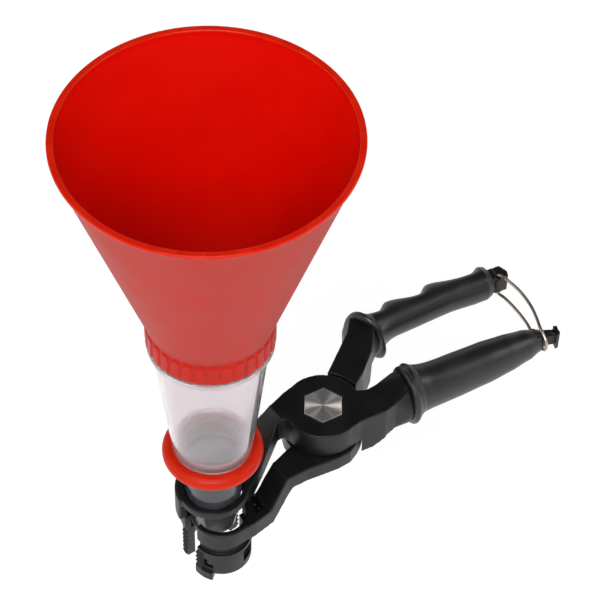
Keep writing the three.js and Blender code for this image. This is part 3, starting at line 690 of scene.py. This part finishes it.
def make_grips():
    front = make_grip(
        "front_grip_sleeve", FRONT_LINE, FRONT_START, 0.97, FRONT_RADII,
        straight_side, palm_flare, 1,
    )
    finish_piece(front, "upper_lever_body", "grip_rubber", "front_grip")
    rear = make_grip(
        "rear_grip_sleeve", REAR_LINE, REAR_START, 0.955, REAR_RADII,
        finger_wave, thumb_flare, -1, crown=0.2,
    )
    finish_piece(rear, "lower_lever_body", "grip_rubber", "rear_grip")


# ------------------------------------------------------------------ levers and jaws
FLARE_RINGS = 12
FLARE_SIDES = 48
FLARE_INSET = 0.35        # the last ring stays this far clear of the grip
FLARE_POWER = 2.2         # how late the section grows along the flare
SQUARENESS = 0.75         # 0 is an oval root section, 1 a sharp rectangle


def shank_flare(line, t, radius, root, half_width, bottom, top):
    """Rectangular root section that swells into a round face against the guard."""
    end = catmull(line, t)
    end_along = direction(line, t)
    root = Vector(root)
    straight = (end - root).normalized()
    half_height = (top - bottom) / 2
    rings = []
    for i in range(FLARE_RINGS + 1):
        u = i / FLARE_RINGS
        place = root.lerp(end - end_along * FLARE_INSET, u)
        along = straight.lerp(end_along, u).normalized()
        grow = u ** FLARE_POWER
        middle = (top + bottom) / 2 * (1 - grow) + GRIP_Z * grow
        ring = []
        for k in range(FLARE_SIDES):
            angle = 2 * math.pi * k / FLARE_SIDES
            c, s = math.cos(angle), math.sin(angle)
            square = 1 / max(abs(c), abs(s)) ** (SQUARENESS * (1 - u))
            wide = half_width * square * (1 - grow) + radius * GRIP_WIDTH * grow
            high = half_height * square * (1 - grow) + radius * GRIP_HEIGHT * grow
            ring.append((
                place.x - along.y * c * wide, place.y + along.x * c * wide, middle + s * high,
            ))
        rings.append(ring)
    return loft("shank_flare", rings)


def prism(name, corners, bottom, top):
    return loft(name, [[(x, y, z) for x, y in corners] for z in (bottom, top)])


def make_hook():
    """End of the front handle: a flat neck with a tall plate across its tip."""
    neck = prism(
        "hook_neck", [(192.0, -27.2), (197.3, -29.4), (199.1, -25.8), (193.0, -22.6)], 27.4, 34.9,
    )
    plate = prism(
        "hook_plate", [(197.2, -30.8), (199.0, -31.0), (201.0, -26.0), (199.2, -25.0)], 24.8, 36.8,
    )
    work = bmesh.new()
    work.from_mesh(neck)
    work.from_mesh(plate)
    hook = soften("front_hook", work, 0.2, 5)
    finish_piece(hook, "upper_lever_body", "black_plastic")


HEAD_START_X = 198.5      # the end of the front handle lies past this


def head_forward(x, y, z):
    """Puts the end of the front handle inside its hook."""
    return (x - 1.0, y - 4.2, z) if x > HEAD_START_X else (x, y, z)


LEVER_VOXEL = 0.5         # remesh size and smoothing passes of the levers
LEVER_PASSES = 8
JAW_VOXEL = 0.16          # and of the jaws, whose teeth stay sharp
JAW_PASSES = 1


def make_levers():
    flare = shank_flare(FRONT_LINE, FRONT_START, 13.8, (90, -15.0), 7.4, 24.6, 43.6)
    upper = moulded(
        "upper_lever_moulding", "upper_lever", LEVER_VOXEL, LEVER_PASSES, [flare], head_forward,
    )
    finish_piece(upper, "upper_lever_body", "black_plastic", "upper_lever")
    flare = shank_flare(REAR_LINE, REAR_START, 11.8, (96, 13.8), 6.6, 19.4, 43.8)
    lower = moulded("lower_lever_moulding", "lower_lever", LEVER_VOXEL, LEVER_PASSES, [flare])
    finish_piece(lower, "lower_lever_body", "black_plastic", "lower_lever")


def make_jaws():
    rear = moulded("rear_jaw_moulding", "rear_jaw", JAW_VOXEL, JAW_PASSES)
    finish_piece(rear, "upper_lever_body", "black_plastic", "rear_jaw")
    front = moulded("front_jaw_moulding", "front_jaw", JAW_VOXEL, JAW_PASSES)
    finish_piece(front, "lower_lever_body", "black_plastic", "front_jaw")


# ------------------------------------------------------------------ pivot bolt and bail
PIVOT = (66, -2.3)
HEX_FLATS = 19.0
HEX_SIDE_STEPS = 8
HEAD_SEAT_Z = 39.2
HEAD_TOP_Z = 44.72
WIRE_SIDES = 16
WIRE_R = 0.9


def hexagon(apothem, turn, z):
    """Ring of points round a hexagon on the pivot axis."""
    corner = apothem / math.cos(math.pi / 6)
    ring = []
    for k in range(6 * HEX_SIDE_STEPS):
        side, step = divmod(k, HEX_SIDE_STEPS)
        a0 = turn + (side - 0.5) * math.pi / 3
        a1 = a0 + math.pi / 3
        t = step / HEX_SIDE_STEPS
        x = corner * (math.cos(a0) * (1 - t) + math.cos(a1) * t)
        y = corner * (math.sin(a0) * (1 - t) + math.sin(a1) * t)
        ring.append((PIVOT[0] + x, PIVOT[1] + y, z))
    return ring


def make_bolt():
    """Hexagon head with a broken edge, on a round shank with its end chamfered."""
    half = HEX_FLATS / 2
    profile = [
        (HEAD_SEAT_Z, half), (HEAD_TOP_Z - 0.17, half), (HEAD_TOP_Z - 0.04, half - 0.08),
        (HEAD_TOP_Z, half - 0.22), (HEAD_TOP_Z, 3.0),
    ]
    rings = [hexagon(apothem, -HEADING, z) for z, apothem in profile]
    head = make_object("bolt_head", loft("bolt_head", rings), ["turned_steel"], smooth=False)
    finish_piece(head, "upper_lever_body", "steel", "pivot_bolt")
    outline = fillet([(0.4, 39.3, 0), (6.0, 39.3, 0), (6.0, 17.9, 0.8), (0.4, 17.9, 0)])
    shank = revolve("bolt_shank", outline, 64, ["steel"], center=PIVOT)
    finish_piece(shank, "upper_lever_body", "steel")


def tube_along(name, points, radius, materials):
    """Round wire along a smooth line of points, with flat ends."""
    normal = Vector((0, 0, 1))
    rings = []
    for i, p in enumerate(points):
        before = points[max(0, i - 1)]
        after = points[min(len(points) - 1, i + 1)]
        along = (after - before).normalized()
        normal = normal - along * normal.dot(along)
        if normal.length < 1e-3:
            normal = along.orthogonal()
        normal.normalize()
        side = along.cross(normal)
        ring = []
        for k in range(WIRE_SIDES):
            angle = 2 * math.pi * k / WIRE_SIDES
            ring.append(p + (normal * math.cos(angle) + side * math.sin(angle)) * radius)
        rings.append(ring)
    return make_object(name, loft(name, rings), materials)


def centripetal(points, per_span):
    """Centripetal Catmull-Rom line through the points."""
    points = [Vector(p) for p in points]
    ends = [points[0] * 2 - points[1], *points, points[-1] * 2 - points[-2]]
    out = []
    for p0, p1, p2, p3 in zip(ends, ends[1:], ends[2:], ends[3:]):
        t0 = 0
        t1 = t0 + (p1 - p0).length ** 0.5
        t2 = t1 + (p2 - p1).length ** 0.5
        t3 = t2 + (p3 - p2).length ** 0.5
        for k in range(per_span):
            t = t1 + (t2 - t1) * k / per_span
            a1 = p0 * ((t1 - t) / (t1 - t0)) + p1 * ((t - t0) / (t1 - t0))
            a2 = p1 * ((t2 - t) / (t2 - t1)) + p2 * ((t - t1) / (t2 - t1))
            a3 = p2 * ((t3 - t) / (t3 - t2)) + p3 * ((t - t2) / (t3 - t2))
            b1 = a1 * ((t2 - t) / (t2 - t0)) + a2 * ((t - t0) / (t2 - t0))
            b2 = a2 * ((t3 - t) / (t3 - t1)) + a3 * ((t - t1) / (t3 - t1))
            out.append(b1 * ((t2 - t) / (t2 - t1)) + b2 * ((t - t1) / (t2 - t1)))
    out.append(points[-1])
    return out


def make_bail():
    """One wire: from the rear head along its top, round the front hook and back below."""
    top, bottom = GRIP_Z + 7.0, GRIP_Z - 7.0
    upper = [(198.9, 12), (199.3, 2), (197.6, -8.6), (194.6, -17.2), (192.0, -23)]
    lower = [(191.8, -23), (194.0, -17.2), (196.6, -8.6), (198.0, 2), (198.2, 12)]
    points = [
        (197.2, 18.3, top - 3.2), (197.2, 18.3, top - 1.0), (197.8, 16.6, top),
        *[(x, y, top) for x, y in upper],
        (191.0, -27.4, top - 1.6), (190.5, -30.4, GRIP_Z + 2.8),
        (190.5, -30.4, GRIP_Z - 2.4), (191.0, -27.4, bottom + 1.6),
        *[(x, y, bottom) for x, y in lower],
        (197.5, 16.6, bottom), (197.2, 18.3, bottom + 1.0), (197.2, 18.3, bottom + 3.2),
    ]
    bail = tube_along("bail_wire", centripetal(points, 10), WIRE_R, ["wire"])
    finish_piece(bail, "bail_body", "spring_steel", "wire_bail")


def paint_cad_nodes():
    """Materials for the CAD nodes that have no visual piece of their own."""
    paints = {
        "bowl_seal": "seal", "spout_seal": "seal", "head_washer": "steel",
        "pivot_bush": "steel", "nut_washer": "steel", "pivot_nut": "steel",
        "torsion_spring": "wire",
    }
    for name, key in paints.items():
        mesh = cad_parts[name].data
        mesh.materials.clear()
        mesh.materials.append(MATERIALS[key])


make_bowl()
make_tube()
make_nut()
make_spout()
make_grips()
make_levers()
make_jaws()
make_hook()
make_bolt()
make_bail()
paint_cad_nodes()


# ------------------------------------------------------------------ floor and light
FLOOR_HALF = 6.0          # metres, as are all sizes of the stage
FLOOR_Z = -0.32
LIGHT_TARGET = (0.05, 0, 0.1)


def make_floor():
    corners = [(-1, -1), (1, -1), (1, 1), (-1, 1)]
    mesh = bpy.data.meshes.new("floor")
    mesh.from_pydata(
        [(x * FLOOR_HALF, y * FLOOR_HALF, FLOOR_Z) for x, y in corners], [], [(0, 1, 2, 3)],
    )
    floor = bpy.data.objects.new("floor", mesh)
    scene.collection.objects.link(floor)
    pale = new_material(
        "pale_floor", (0.6, 0.6, 0.6), 0.9, Specular_IOR_Level=0.0,
        Emission_Color=(1, 1, 1, 1), Emission_Strength=0.56,
    )
    mesh.materials.append(pale)


def make_world():
    """White at the horizon and dark overhead, so that flat tops stay black."""
    world = bpy.data.worlds.new("studio")
    world.use_nodes = True
    place = node(world, "ShaderNodeTexCoord")
    split = node(world, "ShaderNodeSeparateXYZ")
    fade = node(
        world, "ShaderNodeMapRange", interpolation_type="SMOOTHSTEP",
        From_Min=0.05, From_Max=0.6, To_Min=0.95, To_Max=0.06,
    )
    background = world.node_tree.nodes["Background"]
    background.inputs["Color"].default_value = (1, 1, 1, 1)
    link(world, place.outputs["Generated"], split.inputs["Vector"])
    link(world, split.outputs["Z"], fade.inputs["Value"])
    link(world, fade.outputs["Result"], background.inputs["Strength"])
    scene.world = world


def area_light(name, place, size, power):
    data = bpy.data.lights.new(name, "AREA")
    data.shape = "RECTANGLE"
    data.size, data.size_y = size
    data.energy = power
    lamp = bpy.data.objects.new(name, data)
    scene.collection.objects.link(lamp)
    lamp.location = place
    aim = Vector(LIGHT_TARGET) - Vector(place)
    lamp.rotation_euler = aim.to_track_quat("-Z", "Y").to_euler()


make_floor()
make_world()
area_light("key", (-1.15, -1.35, 2.3), (1.7, 1.7), 84)
area_light("fill", (1.6, -1.3, 1.5), (1.2, 1.2), 14)
area_light("side", (-1.7, 0.9, 1.3), (1.2, 1.0), 10)
